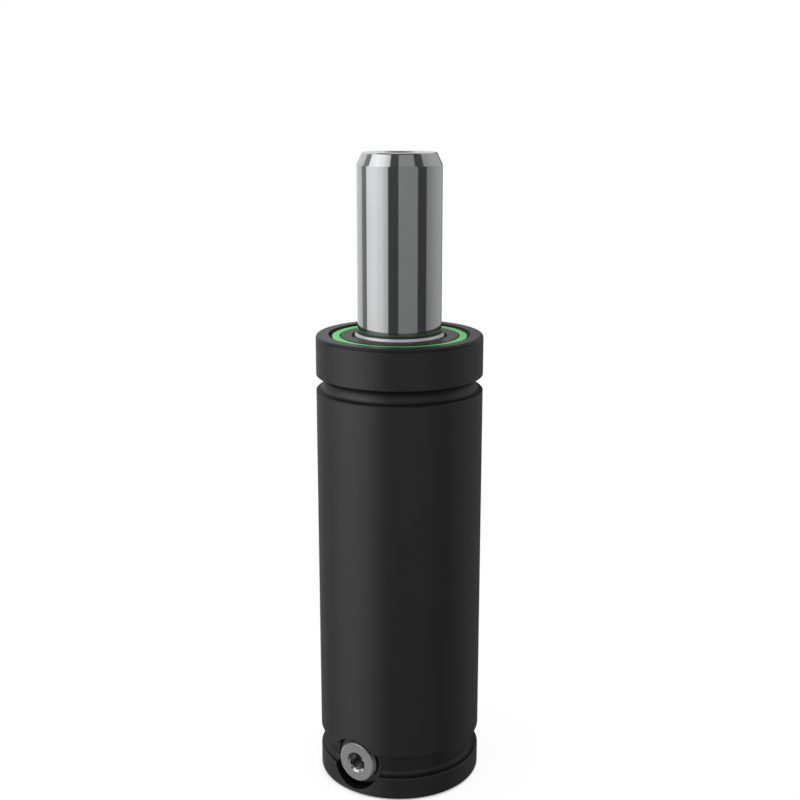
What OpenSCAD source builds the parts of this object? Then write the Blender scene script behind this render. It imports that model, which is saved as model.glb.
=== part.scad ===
// Nitrogen die spring: a self-contained gas spring for press tooling.
// A closed steel cylinder holds the gas; a polished rod is pushed in from the top
// through a guide cartridge, and a valve behind a side plug charges the gas.
// Lengths are millimetres. The origin is the centre of the bottom face, +Z runs
// along the rod, and the charging port faces -Y.

/* [Stroke and lengths] */
// Working stroke of the rod
stroke = 50; // [25:5:100]
// Rod left above the rim at full stroke
rod_reserve = 3; // [1:0.5:6]
// Gap under the piston at full stroke
end_gap = 3; // [2:0.5:8]

/* [Cylinder] */
// Outside diameter of the cylinder
body_d = 50; // [49:0.5:60]
// Bore of the cylinder
bore_d = 40; // [39:0.25:41]
// Thickness of the closed end
base_t = 20; // [18:0.5:30]
// Round between the bore and its floor
floor_round = 3; // [1:0.5:4]
// Round on the outer edge of the rim
rim_round = 1; // [0.3:0.1:2]
// Chamfer inside the mouth
mouth_chamfer = 0.9; // [0.3:0.1:1.5]
// Radial relief of the mouth above the lock ring
mouth_relief = 0.3; // [0.1:0.05:0.5]
// Round on the bottom edge
foot_round = 0.6; // [0.2:0.1:1]

/* [Fixing grooves] */
// Radius of the round groove near the top
c_groove_r = 2.15; // [1:0.05:2.5]
// Depth of that groove's centre below the rim
c_groove_drop = 14.4; // [12:0.2:20]
// Height of the foot flange
flange_h = 6.9; // [4:0.1:9]
// Height of the square groove above the flange
u_groove_h = 7; // [4:0.1:9]
// Depth of the square groove
u_groove_depth = 2.4; // [1:0.1:3]
// Round in the bottom corners of the square groove
u_groove_round = 1.5; // [0.3:0.1:1.8]
// Break on the outer edges of both grooves
groove_break = 0.3; // [0.1:0.05:0.5]

/* [Base holes] */
// Tapping diameter of the two base holes
base_hole_d = 6.8; // [5:0.1:8]
// Distance between the base holes
base_hole_pitch = 20; // [18:0.5:26]
// Depth of the base holes
base_hole_depth = 13; // [8:0.5:15]
// Countersink diameter of the base holes
base_hole_mouth = 8.4; // [8.2:0.1:10]

/* [Rod and piston] */
// Diameter of the rod
rod_d = 25; // [24:0.1:26]
// Height of the lead-in cone at the rod's top
lead_h = 3.6; // [1:0.1:6]
// Radial width of the lead-in cone
lead_w = 1.5; // [0.5:0.1:3]
// Break on the edge of the rod's top face
rod_break = 0.3; // [0.1:0.05:0.5]
// Tapping diameter of the hole in the rod's top
rod_hole_d = 6.8; // [5:0.1:8]
// Depth of that hole
rod_hole_depth = 16; // [8:0.5:30]
// Countersink diameter of that hole
rod_hole_mouth = 9.2; // [8.2:0.1:11]
// Radial gap between the piston head and the bore
piston_gap = 0.6; // [0.3:0.05:0.8]
// Height of the piston head
piston_h = 20; // [14:0.5:28]
// Chamfer on the piston's edges
piston_break = 0.8; // [0.3:0.1:1.5]
// Diameter of the gas holes through the piston
vent_d = 3.6; // [2:0.1:4]
// Number of gas holes
vent_count = 4; // [2:1:6]
// Radial thickness of the piston's wear ring
wear_t = 2; // [1.2:0.1:2.2]
// Height of the wear ring
wear_h = 8; // [4:0.5:10]
// Width of the slanted split in the wear ring
wear_split = 1.5; // [0.5:0.1:3]

/* [Guide cartridge] */
// Depth of the guide's top face below the rim
guide_drop = 0.4; // [0.2:0.1:1]
// Width of the ring-shaped slot between the guide's neck and the bore
neck_slot = 2.4; // [2.2:0.1:3]
// Break on the edges of the guide's top face
guide_break = 0.2; // [0.1:0.05:0.4]
// Depth of the scraper's pocket
scraper_depth = 6.5; // [4:0.5:9]
// Width that the mouth of that pocket is opened by
pocket_mouth_w = 0.35; // [0.2:0.05:0.8]
// Depth of that mouth, down to the scraper's shoulder
pocket_mouth_h = 1.2; // [0.6:0.1:2]
// Web between the scraper's pocket and the bush
guide_web = 2; // [1:0.5:4]
// Hole in the web, radial room round the rod
web_room = 0.4; // [0.3:0.1:0.8]
// Length of the guide bush
bush_len = 25; // [16:0.5:32]
// Wall of the guide bush
bush_t = 1.9; // [1.5:0.1:2.5]
// Radial width of the rod seal
rod_seal_w = 4.5; // [3.5:0.1:5]
// Height of the rod seal
rod_seal_h = 7; // [5:0.2:9]
// Height of the ring that backs the rod seal
seal_backup_h = 2; // [1:0.2:3]
// Height of the ring that keeps the seal in
retainer_h = 4; // [3:0.5:6]
// Step that seats the retainer
retainer_step = 0.9; // [0.5:0.1:1.2]

/* [Lock ring and dust cover] */
// Wire diameter of the lock ring
lock_wire = 3; // [2:0.1:3.4]
// Depth of the lock ring's centre below the rim
lock_drop = 7; // [6:0.2:9]
// How far the wire's centre lies outside the bore
lock_offset = 0.2; // [0:0.05:0.4]
// Opening of the lock ring in degrees
lock_opening = 18; // [8:1:40]
// Depth of the dust cover's face below the rim
cover_drop = 0.5; // [0.2:0.1:1.5]
// Break on the dust cover's top edges
cover_break = 0.15; // [0.1:0.05:0.6]
// Radial room on each side of the dust cover
cover_room = 0.25; // [0.05:0.05:0.4]

/* [Rod scraper] */
// Wall of the scraper ring
scraper_t = 1.15; // [0.9:0.05:1.4]
// Height of the scraper's lip above the guide
lip_h = 1.3; // [0.5:0.1:2]
// Step from the scraper's wall in to its lip
lip_step = 0.2; // [0.1:0.05:0.4]
// Height of the cone that ends the lip
lip_cone_h = 1.4; // [0.3:0.05:1.6]
// Flat left at the top of the lip
lip_flat = 0.2; // [0.1:0.05:0.4]

/* [Guide seals] */
// Section of the guide's outer ring seal
o_ring_wire = 3; // [2:0.1:3.4]
// Height of the groove for that seal and its backing ring
o_groove_h = 5; // [4.6:0.1:6]
// Depth of the seal groove's top edge below the lock ring's centre
o_groove_drop = 13; // [9:0.5:20]
// Height of the backing ring
o_backup_h = 1.4; // [1:0.1:1.5]

/* [Charging port] */
// Height of the port's axis
port_z = 9.5; // [9.2:0.1:10.5]
// Depth of the plug's face below the cylinder's surface
plug_inset = 1.3; // [1:0.1:3]
// Diameter of the plug's collar
plug_d = 12.4; // [12.2:0.1:13.2]
// Height of the plug's collar
collar_h = 2.8; // [2:0.1:4]
// Break on the collar's outer edge
collar_break = 0.35; // [0.1:0.05:0.8]
// Thread diameter of the plug
plug_thread_d = 10; // [9.4:0.1:10.4]
// Length of the plug's threaded shank
plug_shank = 7; // [5.5:0.1:7.5]
// Width across flats of the plug's hexagon socket
hex_af = 5; // [4:0.5:6]
// Depth of the hexagon socket
hex_depth = 5; // [3:0.5:6]
// Diameter of the countersunk mouth of the socket
hex_mouth = 6.4; // [6:0.1:7]
// Room round the collar in its spot face
spot_room = 1.95; // [1:0.05:2.4]
// Section of the ring seal under the collar
plug_seal_wire = 1; // [0.8:0.1:1.1]
// Depth of the pocket for that seal
plug_seal_depth = 1.2; // [1.2:0.1:1.8]

/* [Charging valve] */
// Gap between the plug's end and the valve body
valve_gap = 1.4; // [0.8:0.1:2]
// Diameter of the valve body
valve_d = 8.4; // [7.6:0.1:8.8]
// Length of the valve body
valve_len = 6.8; // [5:0.1:7]
// Gas way through the valve body
valve_way_d = 3; // [2.4:0.1:3.2]
// Driver slot in the valve body, width
valve_slot_w = 1.2; // [0.8:0.1:1.6]
// Driver slot in the valve body, depth
valve_slot_depth = 1.2; // [0.6:0.1:1.6]
// Section of the valve body's ring seal
valve_seal_wire = 1.2; // [0.9:0.1:1.3]
// Width of the groove for that seal
valve_groove_w = 1.6; // [1.4:0.1:2]
// Distance from the seat to that groove
valve_groove_drop = 1.6; // [1:0.1:2.4]
// Diameter of the poppet's head
poppet_d = 5; // [4.2:0.1:5.2]
// Height of the poppet's head
poppet_h = 1.4; // [0.8:0.1:2]
// Diameter of the poppet's stem
stem_d = 1.6; // [1.2:0.1:1.8]
// Stem standing proud of the valve body
stem_proud = 0.3; // [0:0.1:0.6]
// Thickness of the poppet's seal washer
poppet_seal_h = 0.6; // [0.4:0.1:1]
// Rim of the poppet's head outside its seal washer
poppet_rim = 0.3; // [0.1:0.05:0.5]
// Bore that holds the poppet and its spring
spring_bore_d = 6; // [5.8:0.1:6.6]
// Fitted length of the valve spring
spring_len = 3.7; // [3.4:0.1:5]
// Wire diameter of the valve spring
spring_wire = 0.45; // [0.35:0.05:0.5]
// Mean coil diameter of the valve spring
spring_d = 4; // [3:0.1:4.4]
// Coils between the spring's closed ends
spring_coils = 2.5; // [1.5:0.5:3]
// Drilling from the valve up to the gas chamber
gas_hole_d = 3; // [1.6:0.2:3.4]

/* [Fits] */
// Radial running fit of the rod and of the wear ring
run_fit = 0.05; // [0.02:0.01:0.1]
// Radial room of a piece pressed or screwed into its seat
seat_fit = 0.05; // [0.02:0.01:0.1]
// End room between stacked pieces
face_fit = 0.05; // [0.02:0.01:0.1]
// Squeeze of a ring seal in its groove
seal_squeeze = 0.2; // [0.1:0.05:0.3]
// Room between the lock ring and its seats
lock_fit = 0.05; // [0.02:0.01:0.1]

/* [Hidden] */

// Facets of round shapes when they are drawn as a mesh
$fn = 96;
// Overshoot of a cutting shape
cut = 1;
// Half the cone angle of a drill point
drill_half_angle = 59;

// Radii
body_r = body_d / 2;
bore_r = bore_d / 2;
mouth_r = bore_r + mouth_relief;
rod_r = rod_d / 2;
neck_r = bore_r - neck_slot;
guide_r = bore_r - seat_fit;
slide_r = rod_r + run_fit;
web_r = rod_r + web_room;
scraper_r = slide_r + scraper_t;
bush_r = slide_r + bush_t;
seal_r = slide_r + rod_seal_w;
retainer_r = seal_r + retainer_step;
lock_ring_r = bore_r + lock_offset;
piston_r = bore_r - piston_gap;
wear_r = bore_r - run_fit;
wear_floor_r = wear_r - wear_t - run_fit;
o_floor_r = bore_r - o_ring_wire + seal_squeeze;

// Heights of the guide cartridge, from its top down
guide_h = scraper_depth + guide_web + bush_len + seal_backup_h + rod_seal_h + retainer_h;
body_len = base_t + end_gap + stroke + piston_h + face_fit + guide_h + guide_drop;
guide_z1 = body_len - guide_drop;
scraper_z = guide_z1 - scraper_depth;
bush_z1 = scraper_z - guide_web;
bush_z0 = bush_z1 - bush_len;
backup_z0 = bush_z0 - seal_backup_h;
seal_z0 = backup_z0 - rod_seal_h;
guide_z0 = seal_z0 - retainer_h;
lock_z = body_len - lock_drop;
o_groove_z1 = lock_z - o_groove_drop;
o_groove_z0 = o_groove_z1 - o_groove_h;
cover_z0 = lock_z + lock_wire / 2 + face_fit;
cover_z1 = body_len - cover_drop;

// Heights of the rod at rest, pushed out against the guide
piston_z1 = guide_z0 - face_fit;
piston_z0 = piston_z1 - piston_h;
rod_z1 = body_len + stroke + rod_reserve;
wear_z0 = piston_z0 + (piston_h - wear_h) / 2;

// Grooves outside the cylinder
c_groove_z = body_len - c_groove_drop;
u_groove_z1 = flange_h + u_groove_h;
u_floor_r = body_r - u_groove_depth;

// Charging port, as distances from the cylinder's axis
plug_face = body_r - plug_inset;
spot_floor = plug_face - collar_h;
plug_end = spot_floor - plug_shank;
valve_end = plug_end - valve_gap;
valve_seat = valve_end - valve_len;
spring_floor = valve_seat - poppet_seal_h - poppet_h - spring_len;
spot_r = plug_d / 2 + spot_room;
thread_r = plug_thread_d / 2;
plug_r = thread_r - seat_fit;
plug_seal_r = thread_r + plug_seal_wire - seal_squeeze;
valve_r = valve_d / 2;
valve_floor_r = valve_r - valve_seal_wire + seal_squeeze;

// Shared shapes

// Solid turned from a profile of radius and height
module turned() {
    rotate_extrude() children();
}

// Rectangle between two radii and two heights
module band(r_in, r_out, z_lo, z_hi) {
    translate([r_in, z_lo]) square([r_out - r_in, z_hi - z_lo]);
}

// What a round takes off a square corner at [x, z]; sx and sz point into the material
module round_off(x, z, sx, sz, r) {
    difference() {
        translate([x + sx * (r - cut) / 2, z + sz * (r - cut) / 2])
            square(r + cut, center = true);
        translate([x + sx * r, z + sz * r]) circle(r);
    }
}

// What a chamfer takes off a square corner at [x, z]; sx and sz point into the material
module break_off(x, z, sx, sz, c) {
    polygon([
        [x + sx * (c + cut), z - sz * cut],
        [x - sx * cut, z + sz * (c + cut)],
        [x - sx * cut, z - sz * cut]
    ]);
}

// Ring seal as it is squeezed between two radii
module squeezed_ring(r_in, r_out, z_mid, wire) {
    turned() intersection() {
        translate([(r_in + r_out) / 2, z_mid]) circle(d = wire);
        band(r_in + seat_fit, r_out - seat_fit, z_mid - wire, z_mid + wire);
    }
}

// Drilled hole pointing up from z = 0, with a countersunk mouth and a drill point
module drilled_hole(d, depth, mouth_d) {
    mouth_h = (mouth_d - d) / 2;
    translate([0, 0, -cut]) cylinder(d = d, h = depth + cut);
    translate([0, 0, -cut])
        cylinder(d1 = mouth_d + 2 * cut, d2 = d, h = mouth_h + cut);
    translate([0, 0, depth])
        cylinder(d1 = d, d2 = 0, h = d / 2 / tan(drill_half_angle));
}

// Puts a shape made along +Z on the charging port's axis, with +Z pointing outwards
module on_port() {
    translate([0, 0, port_z]) rotate([90, 0, 0]) children();
}

// Coil spring standing on z = 0, with one closed coil at each end
module coil_spring(mean_d, wire, len, open_coils) {
    sides = 8;
    steps = 16;
    coils = open_coils + 2;
    rings = coils * steps;
    pitch = (len - 3 * wire) / open_coils;
    function rise(n) =
        wire / 2 + wire * (min(n, 1) + max(n - coils + 1, 0))
        + pitch * min(max(n - 1, 0), open_coils);
    points = [
        for (i = [0 : rings], j = [0 : sides - 1])
            let (
                turn = 360 * i / steps,
                side = 360 * j / sides,
                r = mean_d / 2 + wire / 2 * cos(side)
            )
            [r * cos(turn), r * sin(turn), rise(i / steps) + wire / 2 * sin(side)]
    ];
    walls = [
        for (i = [0 : rings - 1], j = [0 : sides - 1])
            let (k = (j + 1) % sides)
            [i * sides + j, i * sides + k, (i + 1) * sides + k, (i + 1) * sides + j]
    ];
    first_end = [for (j = [sides - 1 : -1 : 0]) j];
    last_end = [for (j = [0 : sides - 1]) rings * sides + j];
    polyhedron(points, concat(walls, [first_end, last_end]));
}

// Cylinder

// Round groove for a split retaining ring, with its outer edges broken
module c_groove_profile() {
    lip = sqrt(pow(c_groove_r, 2) - pow(groove_break, 2));
    translate([body_r, c_groove_z]) circle(c_groove_r);
    for (s = [-1, 1])
        polygon([
            [body_r - groove_break, c_groove_z + s * lip],
            [body_r + cut, c_groove_z + s * (lip + groove_break + cut)],
            [body_r + cut, c_groove_z]
        ]);
}

// Square groove above the foot flange, with round inner corners and broken outer edges
module u_groove_profile() {
    difference() {
        band(u_floor_r, body_r + cut, flange_h, u_groove_z1);
        round_off(u_floor_r, flange_h, 1, 1, u_groove_round);
        round_off(u_floor_r, u_groove_z1, 1, -1, u_groove_round);
    }
    break_off(body_r, flange_h, -1, -1, groove_break);
    break_off(body_r, u_groove_z1, -1, 1, groove_break);
}

// Everything that is bored out of the cylinder from its mouth
module bore_profile() {
    difference() {
        band(-cut, bore_r, base_t, body_len + cut);
        round_off(bore_r, base_t, -1, 1, floor_round);
    }
    band(-cut, mouth_r, lock_z, body_len + cut);
    break_off(mouth_r, body_len, 1, -1, mouth_chamfer);
    translate([lock_ring_r, lock_z]) circle(lock_wire / 2 + lock_fit);
}

// Spot face, thread, valve bore and spring bore of the charging port
module port_cuts() {
    on_port() {
        translate([0, 0, spot_floor]) cylinder(r = spot_r, h = body_r - spot_floor + cut);
        translate([0, 0, spot_floor - plug_seal_depth])
            cylinder(r = plug_seal_r, h = plug_seal_depth + cut);
        translate([0, 0, valve_end]) cylinder(r = thread_r, h = spot_floor - valve_end);
        translate([0, 0, valve_seat])
            cylinder(r = valve_r, h = valve_end - valve_seat + cut);
        translate([0, 0, spring_floor])
            cylinder(d = spring_bore_d, h = valve_seat - spring_floor + cut);
    }
    translate([0, -spring_floor - spring_len / 2, port_z])
        cylinder(d = gas_hole_d, h = base_t - port_z + cut);
}

// Cylinder and closed end, turned from one bar
module cylinder_tube() {
    color("#1c1c1d") difference() {
        turned() difference() {
            band(0, body_r, 0, body_len);
            bore_profile();
            c_groove_profile();
            u_groove_profile();
            round_off(body_r, body_len, -1, -1, rim_round);
            round_off(body_r, 0, -1, 1, foot_round);
        }
        port_cuts();
        for (s = [-1, 1])
            translate([s * base_hole_pitch / 2, 0, 0])
                drilled_hole(base_hole_d, base_hole_depth, base_hole_mouth);
    }
}

// Guide cartridge

// Guide body: outer shoulder under the lock ring, pockets for scraper, bush and seal inside
module guide_housing() {
    mouth_in_r = scraper_r + seat_fit + pocket_mouth_w;
    color("#242425") turned() difference() {
        union() {
            band(web_r, guide_r, guide_z0, lock_z);
            band(web_r, neck_r, guide_z0, guide_z1);
        }
        translate([lock_ring_r, lock_z]) circle(lock_wire / 2 + lock_fit);
        band(o_floor_r, guide_r + cut, o_groove_z0, o_groove_z1);
        band(0, scraper_r + seat_fit, scraper_z, guide_z1 + cut);
        band(0, mouth_in_r, guide_z1 - pocket_mouth_h, guide_z1 + cut);
        break_off(mouth_in_r, guide_z1, 1, -1, guide_break);
        break_off(neck_r, guide_z1, -1, -1, guide_break);
        band(0, bush_r + seat_fit, bush_z0, bush_z1);
        band(0, seal_r + seat_fit, seal_z0, bush_z0 + cut / 2);
        band(0, retainer_r + seat_fit, guide_z0 - cut, seal_z0);
    }
}

// Plain bearing bush that the rod runs in
module guide_bush() {
    color("#b08d57") turned() difference() {
        band(slide_r, bush_r, bush_z0 + face_fit, bush_z1 - face_fit);
        break_off(slide_r, bush_z1 - face_fit, 1, -1, bush_t / 4);
        break_off(slide_r, bush_z0 + face_fit, 1, 1, bush_t / 4);
    }
}

// Lip seal on the rod, with its open side towards the gas
module rod_seal() {
    mid_r = (slide_r + seal_r) / 2;
    lip_w = rod_seal_w / 4;
    color("#3f6f4a") turned() difference() {
        band(slide_r, seal_r, seal_z0 + face_fit, backup_z0 - face_fit);
        polygon([
            [mid_r - lip_w, seal_z0 - cut],
            [mid_r + lip_w, seal_z0 - cut],
            [mid_r + lip_w / 3, seal_z0 + rod_seal_h / 2],
            [mid_r - lip_w / 3, seal_z0 + rod_seal_h / 2]
        ]);
    }
}

// Hard ring that stops the rod seal from creeping up the rod
module seal_backup_ring() {
    color("#d8d2c4") turned()
        band(slide_r, seal_r, backup_z0 + face_fit, bush_z0 - face_fit);
}

// Pressed ring that keeps the rod seal in the guide and meets the piston
module seal_retainer() {
    color("#7d8085") turned() difference() {
        band(web_r, retainer_r, guide_z0, seal_z0 - face_fit);
        break_off(web_r, guide_z0, 1, 1, retainer_step / 2);
        break_off(retainer_r, seal_z0 - face_fit, -1, -1, retainer_step / 2);
    }
}

// Ring seal between guide and bore
module guide_o_ring() {
    color("#151515") squeezed_ring(
        o_floor_r, bore_r, o_groove_z0 + (o_groove_h - o_backup_h) / 2, o_ring_wire
    );
}

// Hard ring above that seal, on the side away from the gas
module guide_backup_ring() {
    color("#d8d2c4") turned()
        band(
            o_floor_r + seat_fit, bore_r - seat_fit,
            o_groove_z1 - o_backup_h, o_groove_z1 - face_fit
        );
}

// Open ring of round wire that locks the guide into the cylinder
module lock_ring() {
    color("#9c9fa3") rotate([0, 0, lock_opening / 2])
        rotate_extrude(angle = 360 - lock_opening)
            translate([lock_ring_r, lock_z]) circle(d = lock_wire);
}

// Moulded ring that closes the slot between guide and cylinder
module dust_cover() {
    color("#4fb565") turned() difference() {
        band(neck_r + cover_room, mouth_r - cover_room, cover_z0, cover_z1);
        break_off(neck_r + cover_room, cover_z1, 1, -1, cover_break);
        break_off(mouth_r - cover_room, cover_z1, -1, -1, cover_break);
    }
}

// Thin metal scraper pressed into the guide's mouth, its lip standing round the rod
module rod_scraper() {
    lip_r = scraper_r - lip_step;
    lip_z0 = guide_z1 - pocket_mouth_h;
    lip_z1 = guide_z1 + lip_h;
    color("#c3c6c9") turned() {
        band(slide_r, scraper_r, scraper_z + face_fit, lip_z0);
        polygon([
            [slide_r, lip_z0],
            [lip_r, lip_z0],
            [lip_r, lip_z1 - lip_cone_h],
            [slide_r + lip_flat, lip_z1],
            [slide_r, lip_z1]
        ]);
    }
}

// Rod and piston

// Rod with its piston head, turned, ground and polished from one bar
module piston_rod() {
    tip_r = rod_r - lead_w;
    color("#d3d6d9") difference() {
        turned() difference() {
            union() {
                band(0, piston_r, piston_z0, piston_z1);
                polygon([
                    [0, piston_z0],
                    [rod_r, piston_z0],
                    [rod_r, rod_z1 - lead_h],
                    [tip_r, rod_z1 - rod_break],
                    [tip_r - rod_break, rod_z1],
                    [0, rod_z1]
                ]);
            }
            band(wear_floor_r, piston_r + cut, wear_z0, wear_z0 + wear_h);
            break_off(piston_r, piston_z0, -1, 1, piston_break);
            break_off(piston_r, piston_z1, -1, -1, piston_break);
        }
        translate([0, 0, rod_z1]) mirror([0, 0, 1])
            drilled_hole(rod_hole_d, rod_hole_depth, rod_hole_mouth);
        for (i = [0 : vent_count - 1])
            rotate([0, 0, 360 * i / vent_count])
                translate([(rod_r + wear_floor_r) / 2, 0, piston_z0 - cut])
                    cylinder(d = vent_d, h = piston_h + 2 * cut);
    }
}

// Split wear ring that carries the piston in the bore
module piston_wear_ring() {
    split_slope = 30;
    color("#6b4a35") difference() {
        turned() band(
            wear_floor_r + run_fit, wear_r, wear_z0 + face_fit, wear_z0 + wear_h - face_fit
        );
        translate([wear_r, 0, wear_z0 + wear_h / 2]) rotate([split_slope, 0, 0])
            cube([4 * wear_t, wear_split, 2 * wear_h], center = true);
    }
}

// Charging valve

// Screwed valve body with a driver slot, a gas way and a groove for its seal
module valve_body() {
    groove_z0 = valve_seat + valve_groove_drop;
    color("#b8995a") on_port() difference() {
        turned() difference() {
            band(valve_way_d / 2, valve_r - seat_fit, valve_seat + face_fit, valve_end);
            band(valve_floor_r, valve_r + cut, groove_z0, groove_z0 + valve_groove_w);
            break_off(valve_r - seat_fit, valve_end, -1, -1, groove_break);
        }
        translate([0, 0, valve_end])
            cube([2 * valve_d, valve_slot_w, 2 * valve_slot_depth], center = true);
    }
}

// Ring seal round the valve body
module valve_o_ring() {
    groove_mid = valve_seat + valve_groove_drop + valve_groove_w / 2;
    color("#151515") on_port()
        squeezed_ring(valve_floor_r, valve_r, groove_mid, valve_seal_wire);
}

// Poppet: a head behind the seat and a stem that reaches out through the valve body
module valve_poppet() {
    head_top = valve_seat - poppet_seal_h;
    stem_top = valve_end + stem_proud;
    color("#c9a15a") on_port() {
        translate([0, 0, head_top - poppet_h]) cylinder(d = poppet_d, h = poppet_h);
        translate([0, 0, head_top - poppet_h / 2])
            cylinder(d = stem_d, h = stem_top - head_top + poppet_h / 2);
    }
}

// Washer on the poppet that closes the seat
module valve_poppet_seal() {
    color("#2b2b2b") on_port() turned()
        band(
            stem_d / 2 + seat_fit, poppet_d / 2 - poppet_rim,
            valve_seat - poppet_seal_h + face_fit, valve_seat
        );
}

// Spring that holds the poppet against its seat
module valve_spring() {
    color("#a7abb0") on_port() translate([0, 0, spring_floor + face_fit])
        coil_spring(spring_d, spring_wire, spring_len - 2 * face_fit, spring_coils);
}

// Charging plug

// Collar plug with a hexagon socket that covers the valve
module port_plug() {
    socket_r = hex_af / 2 / cos(30);
    color("#9b9ea1") on_port() difference() {
        turned() difference() {
            union() {
                band(0, plug_d / 2, spot_floor + face_fit, plug_face);
                band(0, plug_r, plug_end, plug_face - collar_h / 2);
            }
            break_off(plug_d / 2, plug_face, -1, -1, collar_break);
            break_off(plug_r, plug_end, -1, 1, collar_break);
        }
        translate([0, 0, plug_face - hex_depth])
            cylinder(r = socket_r, h = hex_depth + cut, $fn = 6);
        translate([0, 0, plug_face - (hex_mouth - hex_af) / 2])
            cylinder(d1 = hex_af, d2 = hex_mouth + 2 * cut, h = (hex_mouth - hex_af) / 2 + cut);
        translate([0, 0, plug_face - hex_depth]) mirror([0, 0, 1])
            cylinder(d1 = hex_af, d2 = 0, h = hex_af / 2 / tan(drill_half_angle));
    }
}

// Ring seal under the plug's collar
module port_plug_seal() {
    color("#151515") on_port() squeezed_ring(
        plug_r, plug_seal_r, spot_floor - plug_seal_depth / 2, plug_seal_wire
    );
}

cylinder_tube();
guide_housing();
guide_bush();
rod_seal();
seal_backup_ring();
seal_retainer();
guide_o_ring();
guide_backup_ring();
lock_ring();
dust_cover();
rod_scraper();
piston_rod();
piston_wear_ring();
valve_body();
valve_o_ring();
valve_poppet();
valve_poppet_seal();
valve_spring();
port_plug();
port_plug_seal();
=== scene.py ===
import math

import bmesh
import bpy
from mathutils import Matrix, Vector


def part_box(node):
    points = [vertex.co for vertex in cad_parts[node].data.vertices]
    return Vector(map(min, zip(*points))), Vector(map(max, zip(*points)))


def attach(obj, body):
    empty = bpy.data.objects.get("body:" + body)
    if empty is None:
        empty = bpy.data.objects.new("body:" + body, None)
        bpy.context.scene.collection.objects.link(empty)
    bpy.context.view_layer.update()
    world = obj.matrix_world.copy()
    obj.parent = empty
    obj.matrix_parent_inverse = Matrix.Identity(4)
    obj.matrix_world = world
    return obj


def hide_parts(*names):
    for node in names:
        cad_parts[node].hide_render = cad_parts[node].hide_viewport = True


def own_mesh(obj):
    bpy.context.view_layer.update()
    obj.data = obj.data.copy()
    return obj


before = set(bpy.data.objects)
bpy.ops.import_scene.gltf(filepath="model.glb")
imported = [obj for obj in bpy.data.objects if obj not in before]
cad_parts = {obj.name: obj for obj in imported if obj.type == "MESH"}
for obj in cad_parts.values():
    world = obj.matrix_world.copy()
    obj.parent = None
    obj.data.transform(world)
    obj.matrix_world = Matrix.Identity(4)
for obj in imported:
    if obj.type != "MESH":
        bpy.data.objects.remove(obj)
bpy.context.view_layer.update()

# Cylinder
# One steel bar, turned outside, bored from the top and blackened to an even satin finish.
# The closed foot has a clamping groove, a spot-faced charging port and two tapped holes.
# The lower sides of both grooves and the port, and the mouth's chamfer, are painted blacker than the wall:
# a painted shade.
MM = 0.001
SIDES = 192
SMOOTH_ANGLE = math.radians(20)
tube_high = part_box("cylinder_tube")[1]
body_r = tube_high.x
rim_z = tube_high.z
bore_r = 20 * MM
bore_floor_z = 20 * MM
bore_floor_round = 3 * MM
bore_floor_steps = 8
mouth_r = bore_r + 0.3 * MM
mouth_chamfer = 0.9 * MM
rim_round = 1 * MM
foot_round = 0.6 * MM
edge_break = 0.3 * MM
ring_groove_r = 2.15 * MM
ring_groove_z = rim_z - 14.4 * MM
ring_groove_steps = 24
ring_groove_shade = 0.55 * MM
clamp_low_z = 6.9 * MM
clamp_high_z = clamp_low_z + 7 * MM
clamp_floor_r = body_r - 2.4 * MM
clamp_round = 1.5 * MM
clamp_shade = 0.7 * MM
lock_z = rim_z - 7 * MM
lock_r = bore_r + 0.2 * MM
lock_seat_r = 1.55 * MM
lock_seat_steps = 20
port_z = 9.5 * MM
plug_face_r = body_r - 1.3 * MM
spot_r = 8.15 * MM
spot_floor_r = plug_face_r - 2.8 * MM
spot_shade_width = 0.6 * MM
seal_pocket_r = 5.8 * MM
seal_pocket_depth = 1.2 * MM
port_thread_r = 5 * MM
valve_end_r = spot_floor_r - 8.4 * MM
valve_bore_r = 4.2 * MM
valve_seat_r = valve_end_r - 6.8 * MM
valve_spring_bore_r = 3 * MM
valve_floor_r = valve_seat_r - 5.7 * MM
gas_drill_r = 1.5 * MM
gas_drill_y = -(valve_floor_r + 1.85 * MM)
base_hole_x = 10 * MM
thread_core_r = 3.4 * MM
thread_root_r = 3.95 * MM
base_hole_depth = 13 * MM
base_mouth_r = 4.2 * MM
drill_point = 0.6
port_sides = 96
hole_sides = 64
drill_sides = 48
cut = 2 * MM
near = 0.01 * MM
merge_gap = 0.001 * MM


def arc(centre_r, centre_z, radius, first_deg, last_deg, steps=16):
    """Points of a profile on an arc; 0 degrees points outwards and 90 degrees up."""
    span = math.radians(last_deg - first_deg)
    turns = [math.radians(first_deg) + span * i / steps for i in range(steps + 1)]
    return [(centre_r + radius * math.cos(a), centre_z + radius * math.sin(a)) for a in turns]


def close_on_axis(rise):
    """Closes the selected ring with a fan of faces whose tip is on the axis."""
    bpy.ops.mesh.extrude_region_move(TRANSFORM_OT_translate={"value": (0, 0, rise)})
    bpy.ops.mesh.merge(type="CENTER")


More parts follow.
